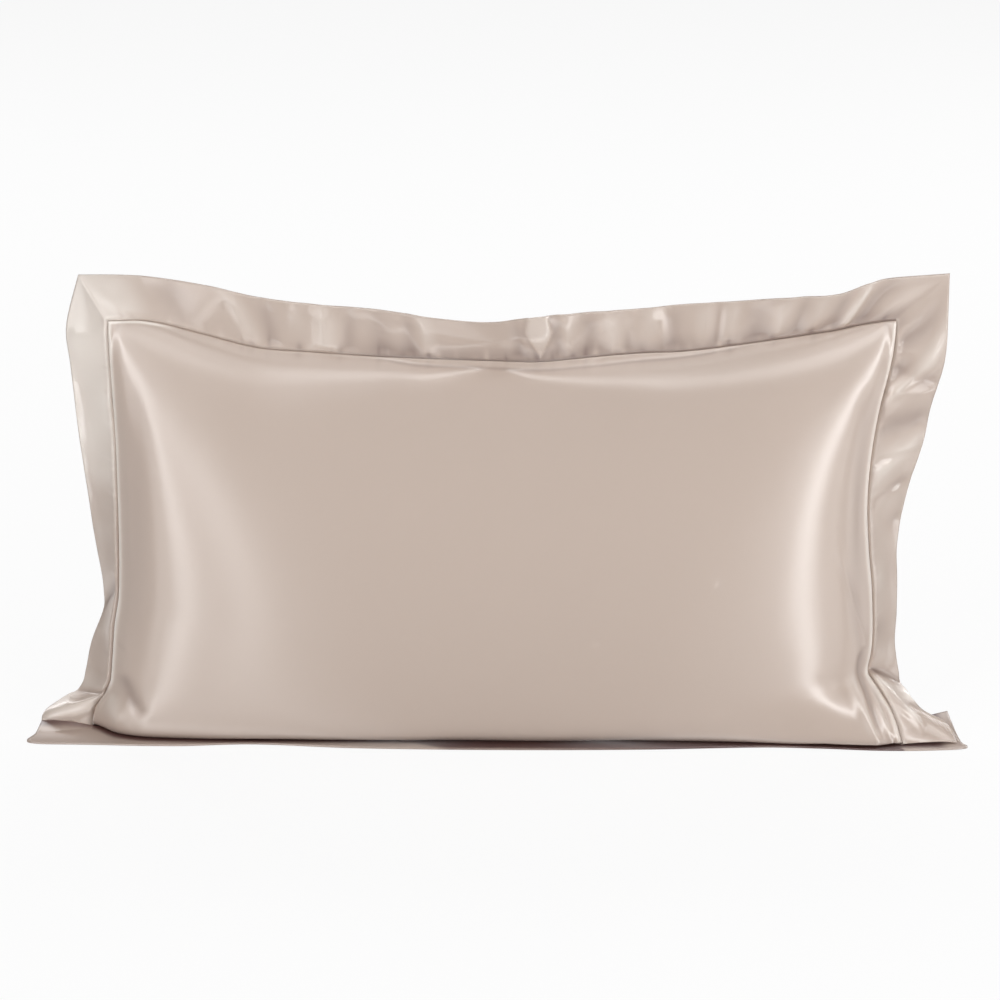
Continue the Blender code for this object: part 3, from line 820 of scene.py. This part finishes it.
def make_border(material):
    """The border: the seam's edge drawn out in rows to the outer edge, then given its thickness."""
    bm, flat = bmesh.new(), {}
    for name in ("shade", "stitching"):
        bm.verts.layers.float.new(name)
    places = border_places()
    rows = list(border_rows(places))
    steps = [(q[0] - p[0]).length for p, q in zip(rows, rows[1:])]
    along = [sum(steps[:i]) for i in range(len(rows))]
    lines = draw_out(bm, rows)
    top_start = BORDER_ALONG + BORDER_AROUND
    top_end = top_start + BORDER_ALONG
    ease_corners(bm, lines, (top_start, top_end))
    if sum(vert.normal.y for vert in lines[FACING_LINE][top_start:top_end]) > 0:
        bmesh.ops.reverse_faces(bm, faces=bm.faces)
        bm.normal_update()
    for step, line in enumerate(lines):
        across = CUT_WIDTH * step / ACROSS
        for vert, run in zip(line, along):
            flat[vert] = (run * MM, across * MM)
    lift_border(bm, lines, places)
    border = finish(bm, "satin_border", flat, material)
    double_cloth(border)
    return border


def lift_border(bm, lines, places):
    """Adds the border's ripples, puckers, tuck and ridge, and notes its painted shade and highlight and where
    its stitches show.
    """
    shaded, stitching = bm.verts.layers.float["shade"], bm.verts.layers.float["stitching"]
    verts = [vert for line in lines for vert in line]
    side = np.array([name for _ in lines for name, _ in places])
    row_x = np.array([row.seam_x for _ in lines for _, row in places])
    x = np.array([vert.co.x for vert in verts])
    z = np.array([vert.co.z for vert in verts])
    x = np.where(side == "top", row_x, x)
    row_z = np.array([row.seam_z for _ in lines for _, row in places])
    across = np.array([CUT_WIDTH * step / ACROSS for step, line in enumerate(lines) for _ in line])
    y = np.array([vert.co.y for vert in verts])
    lifts, hollows = border_lift(side, x, z, row_z, across)
    shades = np.clip(hollows + border_shade(side, x, y, z, across), -1, 1)
    shown = rise(x, ROWS_FROM, ROWS_FADE) * fall(x, ROWS_TO, ROWS_FADE)
    shown = (side == "top") * (ROWS_FAINT + (1 - ROWS_FAINT) * shown)
    for vert, lift, shade, rows in zip(verts, lifts.tolist(), shades.tolist(), shown.tolist()):
        vert[shaded], vert[stitching] = shade, rows
        vert.co += vert.normal * lift
        vert.co.z = max(vert.co.z, CLOTH / 2)


# ---------------------------------------------------------------------------- materials
class Field:
    """A socket that takes arithmetic: each operator adds one Math node."""

    def __init__(self, paint, socket):
        self.paint, self.socket = paint, socket

    def _with(self, operation, *values):
        sockets = {i: value for i, value in enumerate(values)}
        return self.paint.node("ShaderNodeMath", {"operation": operation}, sockets, 0)

    def __add__(self, other):
        return self._with("ADD", self, other)

    def __radd__(self, other):
        return self._with("ADD", other, self)

    def __sub__(self, other):
        return self._with("SUBTRACT", self, other)

    def __rsub__(self, other):
        return self._with("SUBTRACT", other, self)

    def __mul__(self, other):
        return self._with("MULTIPLY", self, other)

    def __rmul__(self, other):
        return self._with("MULTIPLY", other, self)

    def __truediv__(self, other):
        return self._with("DIVIDE", self, other)

    def __abs__(self):
        return self._with("ABSOLUTE", self)


class Paint:
    """One material's nodes."""

    def __init__(self, name):
        self.material = bpy.data.materials.new(name)
        self.material.use_nodes = True
        self.tree = self.material.node_tree
        self.shader = self.tree.nodes["Principled BSDF"]

    def join(self, value, socket):
        """Links a field to a socket, or sets the socket to a plain value."""
        if isinstance(value, Field):
            self.tree.links.new(value.socket, socket)
        else:
            socket.default_value = value

    def node(self, kind, settings, sockets, out):
        """Adds one node with its settings first, joins its sockets and gives one of its outputs."""
        made = self.tree.nodes.new(kind)
        for key, value in settings.items():
            if key == "stops":
                ramp = made.color_ramp.elements
                while len(ramp) < len(value):
                    ramp.new(0.5)
                for stop, (position, colour) in zip(ramp, value):
                    stop.position, stop.color = position, colour
            else:
                setattr(made, key, value)
        for key, value in sockets.items():
            self.join(value, made.inputs[key])
        return Field(self, made.outputs[out])


def grain(paint, place, scale, detail, stretch):
    """Noise over the flat cloth, drawn out along one of its directions."""
    stretched = paint.node("ShaderNodeMapping", {}, {"Vector": place, "Scale": stretch}, 0)
    return paint.node(
        "ShaderNodeTexNoise", {}, {"Vector": stretched, "Scale": scale, "Detail": detail, "Roughness": 0.6}, 0
    )


# deep, middle and warm are the cloth's own slow tones; shadow and lit are the colours of painted shade and
# painted highlight
SATIN = {
    "deep": (0.520, 0.415, 0.345, 1.0),
    "middle": (0.545, 0.440, 0.375, 1.0),
    "warm": (0.560, 0.445, 0.390, 1.0),
    "shadow": (0.105, 0.045, 0.040, 1.0),
    "lit": (0.86, 0.78, 0.71, 1.0),
}
TONE_STOPS = ((0.30, "deep"), (0.50, "middle"), (0.72, "warm"))
TONE_SIZE, TONE_DETAIL = 7.0, 2.0
THREAD_SIZE, THREAD_DETAIL, THREAD_LONG = 60.0, 3.0, 22.0
WEFT_SHARE, WARP_SHARE = 0.7, 0.3
ROUGH, THREAD_ROUGH, THREAD_HEIGHT = 0.45, 0.06, 0.06
THREAD_LIGHT = 0.5  # how far the stitch rows are painted towards the highlight colour, for their thread and the light it catches
ROW_PLACES, ROW_WIDE = (0.0022, 0.0068), 0.0007  # the two rows of stitches, in metres from the seam
HEM_AT, HEM_WIDE, SUNK = 0.0525, 0.0009, 0.35  # the hem's line, and how deep it and the rows lie
UPRIGHT = 0.25  # the turn that draws the highlight out up and down the face
SATIN_SOCKETS = {
    "IOR": 1.8,
    "Specular IOR Level": 1.0,
    "Anisotropic": 1.0,
    "Anisotropic Rotation": UPRIGHT,
}


def satin(name, stitched):
    """Champagne satin: slow changes of tone, painted shade and painted highlight from the shade attribute,
    fine threads, and on the border its stitch and hem lines, the stitch rows painted lighter as highlight.
    """
    paint = Paint(name)
    place = paint.node("ShaderNodeUVMap", {"uv_map": "UVMap"}, {}, 0)
    slow = grain(paint, place, TONE_SIZE, TONE_DETAIL, (1.0, 1.0, 1.0))
    stops = [(position, SATIN[tone]) for position, tone in TONE_STOPS]
    tone = paint.node("ShaderNodeValToRGB", {"stops": stops}, {0: slow}, 0)
    shade = paint.node("ShaderNodeAttribute", {"attribute_name": "shade"}, {}, "Fac")
    shade_painted_tone = paint.node("ShaderNodeMix", {"data_type": "RGBA"}, {0: shade, 6: tone, 7: SATIN["shadow"]}, 2)
    lit = shade * -1.0
    if stitched:
        across = across_cloth(paint, place)
        near, far = (line_at(paint, across, at, ROW_WIDE) for at in ROW_PLACES)
        rows = near + far
        rows = rows * paint.node("ShaderNodeAttribute", {"attribute_name": "stitching"}, {}, "Fac")
        lit = lit + rows * THREAD_LIGHT
    lightened = paint.node("ShaderNodeMix", {"data_type": "RGBA"}, {0: lit, 6: shade_painted_tone, 7: SATIN["lit"]}, 2)
    paint.join(lightened, paint.shader.inputs["Base Color"])
    weft = grain(paint, place, THREAD_SIZE, THREAD_DETAIL, (1.0, THREAD_LONG, 1.0))
    warp = grain(paint, place, THREAD_SIZE, THREAD_DETAIL, (THREAD_LONG, 1.0, 1.0))
    threads = weft * WEFT_SHARE + warp * WARP_SHARE
    paint.join(ROUGH - THREAD_ROUGH / 2 + threads * THREAD_ROUGH, paint.shader.inputs["Roughness"])
    height = threads * THREAD_HEIGHT
    if stitched:
        height = height - rows * SUNK - line_at(paint, across, HEM_AT, HEM_WIDE) * SUNK
    bump = paint.node("ShaderNodeBump", {}, {"Height": height, "Strength": 1.0, "Distance": MM}, 0)
    paint.join(bump, paint.shader.inputs["Normal"])
    for socket, value in SATIN_SOCKETS.items():
        paint.shader.inputs[socket].default_value = value
    return paint.material


def line_at(paint, across, at, wide):
    """1 on a line at a distance from the seam and 0 away from it."""
    away = abs(across - at) / wide
    return paint.node("ShaderNodeMath", {"operation": "SUBTRACT", "use_clamp": True}, {0: 1.0, 1: away}, 0)


def across_cloth(paint, place):
    """The distance from the stitch line in metres."""
    return paint.node("ShaderNodeSeparateXYZ", {}, {0: place}, 1)


# ---------------------------------------------------------------------------- studio
WORLD_LIGHT = 0.05  # how strongly the surround lights the case
FLOOR_WIDE, FLOOR_PALE, FLOOR_ROUGH = 30.0, (0.82, 0.82, 0.82, 1.0), 0.9
FLOOR_WHITE, FLOOR_SHARE = 1.0, 0.9  # how white the camera sees the floor, and how much of that it sees
AIM = Vector((0.0, 0.0, 0.25))

# A soft light: its turn to the right of the camera and its rise in degrees, its distance, size and power.
Lamp = namedtuple("Lamp", "name turn rise away wide tall power")
LAMPS = (
    Lamp("left strip", -41, 12, 3.2, 0.35, 1.3, 22),
    Lamp("left inner strip", -25, 12, 3.2, 0.35, 1.3, 6),
    Lamp("left outer strip", -54, 12, 3.2, 0.35, 1.3, 6),
    Lamp("left upper strip", -31, 42, 3.2, 0.35, 1.0, 15),
    Lamp("right strip", 41, 12, 3.2, 0.35, 1.3, 33),
    Lamp("right outer strip", 56, 12, 3.2, 0.35, 1.3, 6),
    Lamp("right upper strip", 33, 42, 3.2, 0.35, 1.0, 8),
    Lamp("left side", -90, 25, 3.0, 1.5, 1.5, 3),
    Lamp("right side", 90, 25, 3.0, 1.5, 1.5, 18),
    Lamp("top", 0, 75, 3.0, 2.6, 1.0, 15),
    Lamp("back left strip", -145, 14, 3.2, 0.35, 1.3, 12),
    Lamp("back right strip", 145, 14, 3.2, 0.35, 1.3, 14),
    Lamp("back", 180, 45, 3.0, 2.6, 1.0, 44),
)

def area_light(name, at, target, size, power):
    """A soft rectangular light that faces a point."""
    light = bpy.data.lights.new(name, "AREA")
    light.shape = "RECTANGLE"
    light.size, light.size_y = size
    light.energy = power
    lamp = bpy.data.objects.new(name, light)
    lamp.location = at
    lamp.rotation_euler = (Vector(target) - Vector(at)).to_track_quat("-Z", "Y").to_euler()
    bpy.context.scene.collection.objects.link(lamp)


def make_studio():
    """A pale floor, a white surround and soft lights."""
    bpy.ops.mesh.primitive_plane_add(size=FLOOR_WIDE, location=(0, 0, 0))
    floor = bpy.context.object
    floor.name = "studio_floor"
    paint = Paint("pale floor")
    paint.shader.inputs["Base Color"].default_value = FLOOR_PALE
    paint.shader.inputs["Roughness"].default_value = FLOOR_ROUGH
    white = paint.node("ShaderNodeEmission", {}, {"Strength": FLOOR_WHITE}, 0)
    seen = paint.node("ShaderNodeLightPath", {}, {}, "Is Camera Ray")
    lit = Field(paint, paint.shader.outputs[0])
    mixed = paint.node("ShaderNodeMixShader", {}, {0: seen * FLOOR_SHARE, 1: lit, 2: white}, 0)
    paint.join(mixed, paint.tree.nodes["Material Output"].inputs["Surface"])
    floor.data.materials.append(paint.material)

    world = bpy.data.worlds.new("studio")
    bpy.context.scene.world = world
    world.use_nodes = True
    tree = world.node_tree
    tree.nodes["Background"].inputs["Color"].default_value = (1.0, 1.0, 1.0, 1.0)
    tree.nodes["Background"].inputs["Strength"].default_value = WORLD_LIGHT
    seen = tree.nodes.new("ShaderNodeBackground")
    seen.inputs["Strength"].default_value = 1.0
    path = tree.nodes.new("ShaderNodeLightPath")
    mix = tree.nodes.new("ShaderNodeMixShader")
    tree.links.new(path.outputs["Is Camera Ray"], mix.inputs[0])
    tree.links.new(tree.nodes["Background"].outputs[0], mix.inputs[1])
    tree.links.new(seen.outputs[0], mix.inputs[2])
    tree.links.new(mix.outputs[0], tree.nodes["World Output"].inputs[0])

    for lamp in LAMPS:
        turn, rise = math.radians(lamp.turn), math.radians(lamp.rise)
        toward = Vector((math.sin(turn) * math.cos(rise), -math.cos(turn) * math.cos(rise), math.sin(rise)))
        area_light(lamp.name, AIM + toward * lamp.away, AIM, (lamp.wide, lamp.tall), lamp.power)
    bpy.context.scene.view_settings.view_transform = "Standard"
    bpy.context.scene.view_settings.look = "None"


def main():
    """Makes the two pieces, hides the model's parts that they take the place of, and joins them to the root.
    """
    body = make_body(satin("body satin", False))
    border = make_border(satin("border satin", True))
    for piece, node, slot in ((body, "pillow_body", "body_satin"), (border, "flange_border", "border_satin")):
        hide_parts(node)
        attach(piece, "root")
    make_studio()


main()
